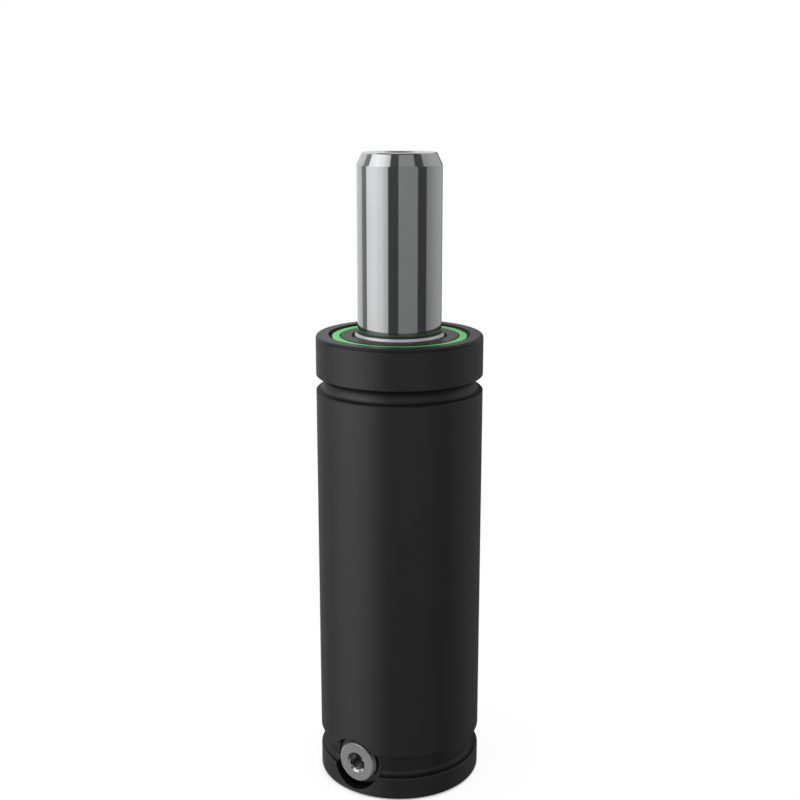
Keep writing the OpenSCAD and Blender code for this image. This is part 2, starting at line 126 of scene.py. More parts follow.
def turn(name, profile, sides=SIDES):
    """Turns a profile of radius and height: a circle is extruded from ring to ring.

    A profile that starts and ends on the axis is closed there, and any other joins its own start."""
    solid = profile[0][0] == 0
    rings = profile[1:-1] if solid else profile + profile[:1]
    first_r, first_z = rings[0]
    bpy.ops.object.select_all(action="DESELECT")
    bpy.ops.mesh.primitive_circle_add(vertices=sides, radius=first_r, location=(0, 0, first_z))
    piece = bpy.context.object
    piece.name = name
    bpy.ops.object.transform_apply(location=True)
    bpy.ops.object.mode_set(mode="EDIT")
    bpy.ops.mesh.select_all(action="SELECT")
    for (last_r, last_z), (ring_r, ring_z) in zip(rings, rings[1:]):
        bpy.ops.mesh.extrude_region_move(TRANSFORM_OT_translate={"value": (0, 0, ring_z - last_z)})
        grow = ring_r / last_r
        bpy.ops.transform.resize(value=(grow, grow, 1), center_override=(0, 0, 0))
    if solid:
        close_on_axis(profile[-1][1] - rings[-1][1])
        bpy.ops.mesh.select_mode(type="EDGE")
        bpy.ops.mesh.select_all(action="DESELECT")
        bpy.ops.mesh.select_non_manifold()
        close_on_axis(profile[0][1] - first_z)
    bpy.ops.mesh.select_all(action="SELECT")
    bpy.ops.mesh.remove_doubles(threshold=merge_gap)
    bpy.ops.mesh.normals_make_consistent(inside=False)
    bpy.ops.object.mode_set(mode="OBJECT")
    return piece


def soften(piece, width, *places, segments=6):
    """Bevels the edges that run round the axis at these radii and heights."""
    bpy.context.view_layer.objects.active = piece
    bpy.ops.object.mode_set(mode="EDIT")
    bpy.ops.mesh.select_mode(type="EDGE")
    bpy.ops.mesh.select_all(action="DESELECT")
    mesh = bmesh.from_edit_mesh(piece.data)
    for edge in mesh.edges:
        ends = [(v.co.xy.length, v.co.z) for v in edge.verts]
        edge.select_set(any(
            all(abs(r - at_r) < near and abs(z - at_z) < near for r, z in ends) for at_r, at_z in places
        ))
    bmesh.update_edit_mesh(piece.data)
    bpy.ops.mesh.bevel(offset=width, segments=segments, profile=0.5, affect="EDGES")
    bpy.ops.object.mode_set(mode="OBJECT")


def lay_along_port(piece):
    """Turns a piece made along +Z onto the axis of the charging port, with its top pointing out."""
    piece.rotation_euler = (math.pi / 2, 0, 0)
    piece.location = (0, 0, port_z)
    bpy.ops.object.select_all(action="DESELECT")
    piece.select_set(True)
    bpy.context.view_layer.objects.active = piece
    bpy.ops.object.transform_apply(location=True, rotation=True)


def cut_out(piece, *cutters):
    """Takes the cutters' shapes out of a piece, removes them and merges doubled points."""
    for cutter in cutters:
        bpy.context.view_layer.objects.active = piece
        bpy.ops.object.modifier_add(type="BOOLEAN")
        modifier = piece.modifiers[-1]
        modifier.operation = "DIFFERENCE"
        modifier.solver = "EXACT"
        modifier.object = cutter
        bpy.ops.object.modifier_apply(modifier=modifier.name)
        bpy.data.objects.remove(cutter)
    bpy.ops.object.mode_set(mode="EDIT")
    bpy.ops.mesh.select_all(action="SELECT")
    bpy.ops.mesh.remove_doubles(threshold=merge_gap)
    bpy.ops.object.mode_set(mode="OBJECT")


def finish_piece(piece, material, body, slot, *nodes):
    """Smooths a piece, gives it its material and lets it stand for its CAD nodes."""
    bpy.ops.object.select_all(action="DESELECT")
    piece.select_set(True)
    bpy.context.view_layer.objects.active = piece
    bpy.ops.object.shade_smooth_by_angle(angle=SMOOTH_ANGLE)
    bpy.ops.object.modifier_add(type="WEIGHTED_NORMAL")
    piece.modifiers[-1].keep_sharp = True
    bpy.ops.object.modifier_apply(modifier=piece.modifiers[-1].name)
    piece.data.materials.append(material)
    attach(piece, body)
    if nodes:
        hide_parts(*nodes)


def paint_where(piece, material, holds):
    """Gives a material to the faces whose corners all lie where holds says."""
    piece.data.materials.append(material)
    for face in piece.data.polygons:
        if all(holds(piece.data.vertices[v].co) for v in face.vertices):
            face.material_index = len(piece.data.materials) - 1


def upright_ring(in_r, out_r, low_z, high_z):
    """Tells whether a point lies in a ring round Z, between two heights."""
    return lambda p: in_r - near < p.xy.length < out_r + near and low_z - near < p.z < high_z + near


def upright_hole(x, hole_r, low_z, high_z):
    """Tells whether a point lies in a hole along Z."""
    return lambda p: math.hypot(p.x - x, p.y) < hole_r + near and low_z - near < p.z < high_z + near


def port_ring(in_r, out_r, low_r, high_r):
    """Tells whether a point lies in a ring round the charging port, between two distances from Z."""
    return lambda p: (
        in_r - near < math.hypot(p.x, p.z - port_z) < out_r + near and low_r - near < -p.y < high_r + near
    )


def port_hole(hole_r, end_r):
    """Tells whether a point lies in a hole along the charging port, no further out than end_r."""
    return port_ring(0, hole_r, 0, end_r)


def new_group(name, inputs, outputs):
    """An empty shader group with its named float or vector sockets."""
    group = bpy.data.node_groups.new(name, "ShaderNodeTree")
    for socket, kind in inputs:
        group.interface.new_socket(name=socket, in_out="INPUT", socket_type=kind)
    for socket in outputs:
        group.interface.new_socket(name=socket, in_out="OUTPUT", socket_type="NodeSocketFloat")
    return group, group.nodes.new("NodeGroupInput"), group.nodes.new("NodeGroupOutput")


def math_node(tree, operation, first, second=None):
    """A math node fed by sockets or by plain numbers; gives its output."""
    node = tree.nodes.new("ShaderNodeMath")
    node.operation = operation
    for socket, value in zip(node.inputs, (first, second)):
        if isinstance(value, (int, float)):
            socket.default_value = value
        elif value is not None:
            tree.links.new(value, socket)
    return node.outputs[0]


def turning_lines_group():
    """Fine rings that a lathe tool leaves: they follow the radius on a face and the height on a wall."""
    group, start, end = new_group(
        "turning lines", [("Place", "NodeSocketVector"), ("Lines per mm", "NodeSocketFloat")], ["Lines"]
    )
    line_detail = 2
    split = group.nodes.new("ShaderNodeSeparateXYZ")
    group.links.new(start.outputs["Place"], split.inputs[0])
    across = math_node(group, "POWER", split.outputs["X"], 2)
    along = math_node(group, "POWER", split.outputs["Y"], 2)
    radius = math_node(group, "SQRT", math_node(group, "ADD", across, along))
    per_metre = math_node(group, "DIVIDE", start.outputs["Lines per mm"], MM)
    tones = []
    for place in (radius, split.outputs["Z"]):
        noise = group.nodes.new("ShaderNodeTexNoise")
        noise.noise_dimensions = "1D"
        noise.inputs["Scale"].default_value = 1
        noise.inputs["Detail"].default_value = line_detail
        group.links.new(math_node(group, "MULTIPLY", place, per_metre), noise.inputs["W"])
        tones.append(noise.outputs["Fac"])
    both = math_node(group, "ADD", *tones)
    group.links.new(math_node(group, "DIVIDE", both, len(tones)), end.inputs["Lines"])
    return group


def surface_grain_group():
    """Fine grain of a surface, and broad soft clouds of tone across it."""
    group, start, end = new_group(
        "surface grain",
        [("Place", "NodeSocketVector"), ("Grains per mm", "NodeSocketFloat")],
        ["Grain", "Clouds"],
    )
    grain_detail = 3
    cloud_detail = 2
    cloud_share = 0.02
    grain_scale = math_node(group, "DIVIDE", start.outputs["Grains per mm"], MM)
    cloud_scale = math_node(group, "MULTIPLY", grain_scale, cloud_share)
    layers = [("Grain", grain_scale, grain_detail), ("Clouds", cloud_scale, cloud_detail)]
    for output, scale, detail in layers:
        noise = group.nodes.new("ShaderNodeTexNoise")
        noise.inputs["Detail"].default_value = detail
        group.links.new(start.outputs["Place"], noise.inputs["Vector"])
        group.links.new(scale, noise.inputs["Scale"])
        group.links.new(noise.outputs["Fac"], end.inputs[output])
    return group


TURNING_LINES = turning_lines_group()
SURFACE_GRAIN = surface_grain_group()


def add_effect(tree, group, place, socket, amount):
    """Places a shared effect in a material with its own value; gives its outputs."""
    node = tree.nodes.new("ShaderNodeGroup")
    node.node_tree = group
    node.inputs[socket].default_value = amount
    tree.links.new(place, node.inputs["Place"])
    return node.outputs


def map_range(tree, value, low, high, at_low, at_high):
    """Maps a value that goes from low to high onto at_low to at_high; gives its output."""
    node = tree.nodes.new("ShaderNodeMapRange")
    sockets = ("From Min", "From Max", "To Min", "To Max")
    for socket, number in zip(sockets, (low, high, at_low, at_high)):
        node.inputs[socket].default_value = number
    tree.links.new(value, node.inputs["Value"])
    return node.outputs["Result"]


def place_along_port(tree, place):
    """Turns places on a piece so that the charging port's axis is their Z; gives the new places."""
    upright = tree.nodes.new("ShaderNodeMapping")
    upright.vector_type = "TEXTURE"
    upright.inputs["Location"].default_value = (0, 0, port_z)
    upright.inputs["Rotation"].default_value = (math.pi / 2, 0, 0)
    tree.links.new(place, upright.inputs["Vector"])
    return upright.outputs["Vector"]


def finish_material(name, dark, light, rough, lines_per_mm=0.0, line_height=0.0, grains_per_mm=6.0,
                    grain_height=0.0, axis="upright", **sockets):
    """A material whose tone and roughness vary with grain and clouds, with turning lines where asked.

    dark and light are its two tones, rough its two roughnesses, and heights are in millimetres."""
    dull_grain, bright_grain = 0.3, 0.7
    material = bpy.data.materials.new(name)
    material.use_nodes = True
    tree = material.node_tree
    shader = tree.nodes["Principled BSDF"]
    for socket, value in sockets.items():
        shader.inputs[socket.replace("_", " ")].default_value = value
    place = tree.nodes.new("ShaderNodeTexCoord").outputs["Object"]
    if axis == "port":
        place = place_along_port(tree, place)
    grain = add_effect(tree, SURFACE_GRAIN, place, "Grains per mm", grains_per_mm)
    tone = tree.nodes.new("ShaderNodeMix")
    tone.data_type = "RGBA"
    tone.inputs["A"].default_value = (*dark, 1)
    tone.inputs["B"].default_value = (*light, 1)
    tree.links.new(grain["Clouds"], tone.inputs["Factor"])
    tree.links.new(tone.outputs["Result"], shader.inputs["Base Color"])
    polish = grain["Grain"]
    height = math_node(tree, "MULTIPLY", polish, grain_height * MM)
    if lines_per_mm:
        polish = add_effect(tree, TURNING_LINES, place, "Lines per mm", lines_per_mm)["Lines"]
        ridges = math_node(tree, "MULTIPLY", polish, line_height * MM)
        height = math_node(tree, "ADD", height, ridges)
    tree.links.new(map_range(tree, polish, dull_grain, bright_grain, *rough), shader.inputs["Roughness"])
    bump = tree.nodes.new("ShaderNodeBump")
    bump.inputs["Strength"].default_value = 1
    bump.inputs["Distance"].default_value = 1
    tree.links.new(height, bump.inputs["Height"])
    tree.links.new(bump.outputs["Normal"], shader.inputs["Normal"])
    return material


black_steel = finish_material(
    "black_satin_steel", (0.088, 0.088, 0.088), (0.097, 0.097, 0.097), (0.43, 0.51),
    lines_per_mm=5, line_height=0.0006, grain_height=0.0012,
    Metallic=0.84, Specular_Tint=(0.7, 0.7, 0.7, 1),
)

rim_steel = finish_material(
    "black_rim_steel", (0.008, 0.008, 0.008), (0.012, 0.012, 0.012), (0.36, 0.46),
    lines_per_mm=5, line_height=0.0006, grain_height=0.0008, Specular_IOR_Level=0.32,
)

# Painted shade: a near-black steel for the walls of the tapped holes and their threads.
hole_shade_steel = finish_material(
    "hole_painted_shade_steel", (0.05, 0.05, 0.052), (0.09, 0.09, 0.092), (0.3, 0.42), Metallic=1,
)

# Painted shade: a near-black steel for the port's recess, the mouth's chamfer, the spot face's border and
# the plug collar's foot.
near_black_shade = finish_material(
    "painted_shade_black_steel", (0.03, 0.03, 0.03), (0.036, 0.036, 0.036), (0.4, 0.5), grain_height=0.0012,
    Metallic=0.9, Specular_Tint=(0.5, 0.5, 0.5, 1),
)

# Painted shade: a near-black steel for the low sides of the grooves.
groove_shade_paint = finish_material(
    "groove_painted_shade_steel", (0.06, 0.06, 0.06), (0.066, 0.066, 0.066), (0.43, 0.51), grain_height=0.0012,
    Metallic=0.9, Specular_Tint=(0.5, 0.5, 0.5, 1),
)

spot_steel = finish_material(
    "spot_face_steel", (0.1, 0.1, 0.1), (0.12, 0.12, 0.12), (0.4, 0.5),
    lines_per_mm=5, line_height=0.001, axis="port", Metallic=0.5,
)

groove_lip_z = math.sqrt(ring_groove_r**2 - edge_break**2)
groove_lip_deg = math.degrees(math.asin(groove_lip_z / ring_groove_r))
lock_mouth_deg = math.degrees(math.acos((mouth_r - lock_r) / lock_seat_r))
lock_bore_deg = math.degrees(math.acos((bore_r - lock_r) / lock_seat_r))
bore_round_r = bore_r - bore_floor_round
bore_round_z = bore_floor_z + bore_floor_round
cylinder = turn("cylinder", [
    (0, 0),
    (body_r, 0),
    (body_r, clamp_low_z),
    (clamp_floor_r, clamp_low_z),
    (clamp_floor_r, clamp_high_z),
    (body_r, clamp_high_z),
    (body_r, port_z + spot_r + cut),
    (body_r, ring_groove_z - groove_lip_z - edge_break),
    *arc(
        body_r, ring_groove_z, ring_groove_r, 180 + groove_lip_deg, 180 - groove_lip_deg, ring_groove_steps,
    ),
    (body_r, ring_groove_z + groove_lip_z + edge_break),
    (body_r, rim_z),
    (mouth_r + mouth_chamfer, rim_z),
    (mouth_r, rim_z - mouth_chamfer),
    *arc(lock_r, lock_z, lock_seat_r, lock_mouth_deg, -lock_bore_deg, lock_seat_steps),
    *arc(bore_round_r, bore_round_z, bore_floor_round, 0, -90, bore_floor_steps),
    (0, bore_floor_z),
])
soften(cylinder, rim_round, (body_r, rim_z), segments=8)
soften(cylinder, foot_round, (body_r, 0))
soften(cylinder, clamp_round, (clamp_floor_r, clamp_low_z), (clamp_floor_r, clamp_high_z), segments=8)
soften(cylinder, edge_break, (body_r, clamp_low_z), (body_r, clamp_high_z), segments=2)
port_cutter = turn("port_cutter", [
    (0, valve_floor_r),
    (valve_spring_bore_r, valve_floor_r),
    (valve_spring_bore_r, valve_seat_r),
    (valve_bore_r, valve_seat_r),
    (valve_bore_r, valve_end_r),
    (port_thread_r, valve_end_r),
    (port_thread_r, spot_floor_r - seal_pocket_depth),
    (seal_pocket_r, spot_floor_r - seal_pocket_depth),
    (seal_pocket_r, spot_floor_r),
    (spot_r - spot_shade_width, spot_floor_r),
    (spot_r, spot_floor_r),
    (spot_r, body_r + cut),
    (0, body_r + cut),
], sides=port_sides)
lay_along_port(port_cutter)
gas_cutter = turn("gas_cutter", [
    (0, port_z),
    (gas_drill_r, port_z),
    (gas_drill_r, bore_floor_z + cut),
    (0, bore_floor_z + cut),
], sides=drill_sides)
gas_cutter.location.y = gas_drill_y
base_cutters = []
for side in (-1, 1):
    base_cutter = turn("base_cutter", [
        (0, -cut),
        (base_mouth_r + cut, -cut),
        (base_mouth_r, 0),
        (thread_root_r, base_mouth_r - thread_root_r),
        (thread_root_r, base_hole_depth),
        (0, base_hole_depth + thread_core_r * drill_point),
    ], sides=hole_sides)
    base_cutter.location.x = side * base_hole_x
    base_cutters.append(base_cutter)
cut_out(cylinder, port_cutter, gas_cutter, *base_cutters)
finish_piece(cylinder, black_steel, "cylinder", "black_steel", "cylinder_tube")
# The walls of the base holes are painted near black, a painted shade.
for side in (-1, 1):
    paint_where(cylinder, hole_shade_steel, upright_hole(side * base_hole_x, base_mouth_r, 0, bore_floor_z))
# The port's recess is painted near black, a painted shade.
paint_where(cylinder, near_black_shade, port_hole(spot_r, body_r))
# The clamping groove's lower fillet and shelf are painted near black, a painted shade.
paint_where(cylinder, groove_shade_paint, upright_ring(
    clamp_floor_r, body_r - edge_break, clamp_low_z, clamp_low_z + clamp_shade,
))
# The ring groove's lower lip is painted near black, a painted shade.
ring_lip_z = ring_groove_z - groove_lip_z
paint_where(cylinder, groove_shade_paint, upright_ring(
    body_r - ring_groove_r, body_r, ring_lip_z - edge_break, ring_lip_z + ring_groove_shade,
))
# The spot face's floor gets its own steel, but its outer ring keeps the near-black paint: a painted shade
# along the wall.
paint_where(cylinder, spot_steel, port_ring(
    seal_pocket_r, spot_r - spot_shade_width, spot_floor_r, spot_floor_r,
))
paint_where(cylinder, rim_steel, upright_ring(mouth_r, body_r, rim_z - rim_round, rim_z))
# The mouth's chamfer, between rim and cover, is painted near black, a painted shade.
paint_where(cylinder, near_black_shade, upright_ring(
    mouth_r, mouth_r + mouth_chamfer, rim_z - mouth_chamfer, rim_z,
))

# Rod and piston
# One steel bar, turned, hardened, ground and polished to a mirror, with a long lead-in cone.
# The piston head at its foot stays inside, with gas holes and a groove for the wear ring.
# Just above the scraper it is painted darker, a painted shade, and made duller.
rod_low, rod_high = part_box("piston_rod")
rod_r = 12.5 * MM
piston_r = rod_high.x
piston_low_z = rod_low.z
piston_high_z = piston_low_z + 20 * MM
piston_break = 0.8 * MM
wear_floor_r = 17.9 * MM
wear_low_z = piston_low_z + 6 * MM
wear_high_z = wear_low_z + 8 * MM
rod_top_z = rod_high.z
lead_height = 3.6 * MM
lead_width = 1.5 * MM
tip_break = 0.3 * MM
rod_hole_depth = 16 * MM
rod_mouth_r = 4.6 * MM
vent_r = 1.8 * MM
vent_ring_r = (rod_r + wear_floor_r) / 2
vent_count = 4
vent_sides = 32
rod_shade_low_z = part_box("rod_scraper")[1].z
rod_shade_high_z = rod_shade_low_z + 1.3 * MM
rod_shade_tone = 0.2
rod_shade_rough = 0.5

polished_rod = finish_material(
    "polished_rod", (0.60, 0.605, 0.61), (0.66, 0.665, 0.67), (0.035, 0.065),
    lines_per_mm=12, line_height=0.00002, Metallic=1,
)


def paint_rod_shade(material):
    """Darkens and dulls a material at the foot of the rod, fading out upwards; the darkening is a painted
    shade.
    """
    tree = material.node_tree
    shader = tree.nodes["Principled BSDF"]
    split = tree.nodes.new("ShaderNodeSeparateXYZ")
    tree.links.new(tree.nodes.new("ShaderNodeTexCoord").outputs["Object"], split.inputs[0])
    shade_share = map_range(tree, split.outputs["Z"], rod_shade_low_z, rod_shade_high_z, 1, 0)
    for socket, kind, blending, shaded in (
        ("Base Color", "RGBA", "MULTIPLY", (rod_shade_tone, rod_shade_tone, rod_shade_tone, 1)),
        ("Roughness", "FLOAT", "MIX", rod_shade_rough),
    ):
        bare = shader.inputs[socket].links[0].from_socket
        mix = tree.nodes.new("ShaderNodeMix")
        mix.data_type = kind
        mix.blend_type = blending
        mix.inputs["B"].default_value = shaded
        tree.links.new(shade_share, mix.inputs["Factor"])
        tree.links.new(bare, mix.inputs["A"])
        tree.links.new(mix.outputs["Result"], shader.inputs[socket])


# The rod is painted darker just above the scraper, a painted shade.
paint_rod_shade(polished_rod)
tip_r = rod_r - lead_width
rod_hole_floor_z = rod_top_z - rod_hole_depth
rod = turn("rod", [
    (0, piston_low_z),
    (piston_r, piston_low_z),
    (piston_r, wear_low_z),
    (wear_floor_r, wear_low_z),
    (wear_floor_r, wear_high_z),
    (piston_r, wear_high_z),
    (piston_r, piston_high_z),
    (rod_r, piston_high_z),
    (rod_r, rod_top_z - lead_height),
    (tip_r, rod_top_z - tip_break),
    (tip_r - tip_break, rod_top_z),
    (rod_mouth_r, rod_top_z),
    (thread_root_r, rod_top_z - rod_mouth_r + thread_root_r),
    (thread_root_r, rod_hole_floor_z),
    (0, rod_hole_floor_z - thread_core_r * drill_point),
])
soften(rod, piston_break, (piston_r, piston_low_z), (piston_r, piston_high_z), segments=1)
vents = []
for i in range(vent_count):
    vent = turn("vent", [
        (0, piston_low_z - cut),
        (vent_r, piston_low_z - cut),
        (vent_r, piston_high_z + cut),
        (0, piston_high_z + cut),
    ], sides=vent_sides)
    angle = 2 * math.pi * i / vent_count
    vent.location = (vent_ring_r * math.cos(angle), vent_ring_r * math.sin(angle), 0)
    vents.append(vent)
cut_out(rod, *vents)
finish_piece(rod, polished_rod, "rod", "polished_rod", "piston_rod")
# The rod's hole and its countersink are painted near black, a painted shade.
paint_where(rod, hole_shade_steel, upright_hole(0, rod_mouth_r, piston_high_z, rod_top_z))

# Threads of the rod's hole and of the base holes
# Tapped in the bare steel after finishing, one coarse thread for pulling and one pair for fixing.
# Each is a ridge that winds up the wall of its hole, painted near black like the hole's walls: a painted
# shade.
thread_pitch = 1.25 * MM
thread_crest = 0.16 * MM
thread_flank = 0.46 * MM
thread_sink = 0.05 * MM
thread_steps = 40
rod_thread_low_z = rod_top_z - 15 * MM
rod_thread_turns = 11
base_thread_low_z = 1 * MM
base_thread_turns = 9


def wind_up(piece, turns, turn_steps, rise):
    """Winds the active outline round Z and closes both ends; rise gives its height after some turns."""
    outline_points = len(piece.data.vertices)
    bpy.ops.object.modifier_add(type="SCREW")
    winding = piece.modifiers[-1]
    winding.angle = 2 * math.pi * turns
    winding.steps = winding.render_steps = round(turns * turn_steps)
    bpy.ops.object.modifier_apply(modifier=winding.name)
    for i, corner in enumerate(piece.data.vertices):
        corner.co.z += rise(i // outline_points / turn_steps)
    bpy.ops.object.mode_set(mode="EDIT")
    bpy.ops.mesh.select_mode(type="EDGE")
    bpy.ops.mesh.select_all(action="DESELECT")
    bpy.ops.mesh.select_non_manifold()
    bpy.ops.mesh.edge_face_add()
    bpy.ops.mesh.select_all(action="SELECT")
    bpy.ops.mesh.normals_make_consistent(inside=False)
    bpy.ops.object.mode_set(mode="OBJECT")


def tapped_thread(name, x, low_z, turns, body, slot):
    """Winds a thread's ridge up the wall of a hole from low_z."""
    bpy.ops.object.select_all(action="DESELECT")
    bpy.ops.mesh.primitive_plane_add(size=2 * thread_flank, rotation=(math.pi / 2, 0, 0))
    piece = bpy.context.object
    piece.name = name
    bpy.ops.object.transform_apply(rotation=True)
    for corner in piece.data.vertices:
        inner = corner.co.x < 0
        corner.co.z *= thread_crest / thread_flank if inner else 1
        corner.co.x = thread_core_r if inner else thread_root_r + thread_sink
    bpy.ops.object.mode_set(mode="EDIT")
    bpy.ops.mesh.select_all(action="SELECT")
    bpy.ops.mesh.delete(type="ONLY_FACE")
    bpy.ops.object.mode_set(mode="OBJECT")
    wind_up(piece, turns, thread_steps, lambda after: thread_pitch * after)
    piece.location = (x, 0, low_z)
    bpy.ops.object.transform_apply(location=True)
    finish_piece(piece, hole_shade_steel, body, slot)


tapped_thread("rod_thread", 0, rod_thread_low_z, rod_thread_turns, "rod", "polished_rod")
for side, name in ((-1, "base_thread_left"), (1, "base_thread_right")):
    tapped_thread(name, side * base_hole_x, base_thread_low_z, base_thread_turns, "cylinder", "black_steel")

# Guide
# A turned and blackened steel sleeve that closes the cylinder's mouth and holds bush and seals.
# A round wire ring locks its shoulder into the bore, under the green cover.
guide_low, guide_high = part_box("guide_housing")
guide_top_z = guide_high.z
guide_low_z = guide_low.z
guide_r = guide_high.x
guide_neck_r = 17.6 * MM
guide_edge = 0.2 * MM
guide_lock_steps = 12
web_r = rod_r + 0.4 * MM
scraper_pocket_r = 13.75 * MM
pocket_mouth_r = scraper_pocket_r + 0.35 * MM
pocket_mouth_z = guide_top_z - 1.2 * MM
scraper_floor_z = guide_top_z - 6.5 * MM
bush_pocket_r = 14.5 * MM
bush_high_z = scraper_floor_z - 2 * MM
bush_low_z = bush_high_z - 25 * MM
seal_pocket_out_r = 17.1 * MM
seal_low_z = bush_low_z - 9 * MM
retainer_pocket_r = 18 * MM
o_groove_floor_r = 17.2 * MM
o_groove_high_z = lock_z - 13 * MM
o_groove_low_z = o_groove_high_z - 5 * MM

guide_steel = finish_material(
    "guide_black_steel", (0.005, 0.005, 0.0052), (0.008, 0.008, 0.0083), (0.38, 0.48),
    lines_per_mm=6, line_height=0.0008, grain_height=0.0006, Specular_IOR_Level=0.3,
)
guide_lock_deg = math.degrees(math.acos((guide_r - lock_r) / lock_seat_r))
guide = turn("guide", [
    (web_r, scraper_floor_z),
    (scraper_pocket_r, scraper_floor_z),
    (scraper_pocket_r, pocket_mouth_z),
    (pocket_mouth_r, pocket_mouth_z),
    (pocket_mouth_r, guide_top_z - guide_edge),
    (pocket_mouth_r + guide_edge, guide_top_z),
    (guide_neck_r - guide_edge, guide_top_z),
    (guide_neck_r, guide_top_z - guide_edge),
    (guide_neck_r, lock_z),
    *arc(lock_r, lock_z, lock_seat_r, 180, 360 - guide_lock_deg, guide_lock_steps),
    (guide_r, o_groove_high_z),
    (o_groove_floor_r, o_groove_high_z),
    (o_groove_floor_r, o_groove_low_z),
    (guide_r, o_groove_low_z),
    (guide_r, guide_low_z),
    (retainer_pocket_r, guide_low_z),
    (retainer_pocket_r, seal_low_z),
    (seal_pocket_out_r, seal_low_z),
    (seal_pocket_out_r, bush_low_z),
    (bush_pocket_r, bush_low_z),
    (bush_pocket_r, bush_high_z),
    (web_r, bush_high_z),
])
finish_piece(guide, guide_steel, "cylinder", "guide_steel", "guide_housing")

# Dust cover
# A moulded ring of green plastic, pressed into the slot between guide and cylinder.
# It keeps swarf and oil off the lock ring. Its outer top edge is painted paler, a painted highlight.
cover_low, cover_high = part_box("dust_cover")
cover_out_r = cover_high.x
cover_gap = 0.25 * MM
cover_in_r = guide_neck_r + cover_gap
cover_round = 0.15 * MM
cover_green = finish_material(
    "green_cover_plastic", (0.055, 0.42, 0.085), (0.07, 0.5, 0.105), (0.42, 0.52),
    grains_per_mm=9, grain_height=0.004,
)
# Painted highlight: a paler green for the cover's outer top edge.
cover_highlight = finish_material(
    "green_cover_painted_highlight", (0.3, 0.62, 0.36), (0.4, 0.7, 0.45), (0.42, 0.52),
    grains_per_mm=9, grain_height=0.002,
)
cover = turn("dust_cover_ring", [
    (cover_in_r, cover_low.z),
    (cover_out_r, cover_low.z),
    (cover_out_r, cover_high.z),
    (cover_in_r, cover_high.z),
])
soften(cover, cover_round, (cover_out_r, cover_high.z), (cover_in_r, cover_high.z), segments=4)
finish_piece(cover, cover_green, "cylinder", "cover_green", "dust_cover")
# The cover's outer top edge is painted paler, a painted highlight.
paint_where(cover, cover_highlight, upright_ring(
    cover_out_r - cover_round, cover_out_r, cover_high.z - cover_round, cover_high.z,
))

# Scraper
# A thin ring of bright turned steel, pressed into the guide's mouth.
# Its cone stands a little proud and wipes the rod; a thin band at the cone's top and foot is painted near
# black, a painted shade.
scraper_low, scraper_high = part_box("rod_scraper")
scraper_r = scraper_high.x
rod_gap = 0.05 * MM
scraper_in_r = rod_r + rod_gap
lip_step = 0.2 * MM
lip_r = scraper_r - lip_step
lip_top_z = scraper_high.z
lip_cone = 1.4 * MM
lip_flat = 0.2 * MM
lower_shade_height = 0.3 * MM
upper_shade_height = 0.35 * MM
band_low_z = lip_top_z - lip_cone + lower_shade_height
band_high_z = lip_top_z - upper_shade_height
scraper_steel = finish_material(
    "bright_scraper_steel", (0.55, 0.555, 0.56), (0.65, 0.655, 0.66), (0.25, 0.4),
    lines_per_mm=8, line_height=0.0005, Metallic=0.5,
)
# Painted shade: a near-black finish for the top and foot of the scraper's cone.
scraper_painted_shade = finish_material(
    "scraper_painted_shade", (0.012, 0.013, 0.012), (0.018, 0.02, 0.018), (0.4, 0.5), grain_height=0.001,
)


def lip_cone_r(z):
    """Radius of the lip's cone at a height."""
    return lip_r - (lip_r - scraper_in_r - lip_flat) * (z - lip_top_z + lip_cone) / lip_cone


scraper = turn("scraper", [
    (scraper_in_r, scraper_low.z),
    (scraper_r, scraper_low.z),
    (scraper_r, pocket_mouth_z),
    (lip_r, pocket_mouth_z),
    (lip_r, lip_top_z - lip_cone),
    (lip_cone_r(band_low_z), band_low_z),
    (lip_cone_r(band_high_z), band_high_z),
    (scraper_in_r + lip_flat, lip_top_z),
    (scraper_in_r, lip_top_z),
])
finish_piece(scraper, scraper_steel, "cylinder", "scraper_steel", "rod_scraper")
# The cone's top and foot are painted near black, a painted shade.
paint_where(scraper, scraper_painted_shade, upright_ring(scraper_in_r, lip_r, band_high_z, lip_top_z))
paint_where(scraper, scraper_painted_shade, upright_ring(scraper_in_r, lip_r, lip_top_z - lip_cone, band_low_z))

# Port plug
# A screwed collar plug of zinc grey steel with a hexagon socket, sunk into the spot face.
# It covers the charging valve and is sealed by a ring under its collar. The collar's edge and upper side
# are painted lighter, a painted light, and its lower side near black, a painted shade; the socket's mouth
# is painted brighter than polished steel, a painted highlight.
plug_low, plug_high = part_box("port_plug")
plug_r = plug_high.x
plug_face = -plug_low.y
plug_end = -plug_high.y
collar_edge = 0.35 * MM
collar_gap = 0.05 * MM
collar_foot = spot_floor_r + collar_gap
shank_r = 4.95 * MM
hex_sides = 6
hex_flats = 5 * MM
hex_depth = 5 * MM
hex_mouth_r = 3.2 * MM
hex_corner_r = hex_flats / 2 / math.cos(math.pi / hex_sides)
hex_chamfer = hex_mouth_r - hex_corner_r
hex_floor = plug_face - hex_depth
collar_lit_height = 2 * MM
collar_shade_end = plug_face - collar_lit_height
plug_steel = finish_material(
    "plug_zinc_steel", (0.39, 0.392, 0.395), (0.45, 0.452, 0.455), (0.3, 0.44),
    lines_per_mm=5, line_height=0.0015, grains_per_mm=2.5, grain_height=0.03, axis="port", Metallic=0.65,
)
# Painted highlight: a steel brighter than the polished rod, for the socket's mouth.
socket_highlight_steel = finish_material(
    "plug_socket_painted_highlight", (0.72, 0.72, 0.72), (0.8, 0.8, 0.8), (0.16, 0.24), axis="port", Metallic=1,
)
socket_steel = finish_material(
    "plug_socket_steel", (0.4, 0.4, 0.402), (0.46, 0.46, 0.462), (0.1, 0.18), axis="port", Metallic=0.9,
)
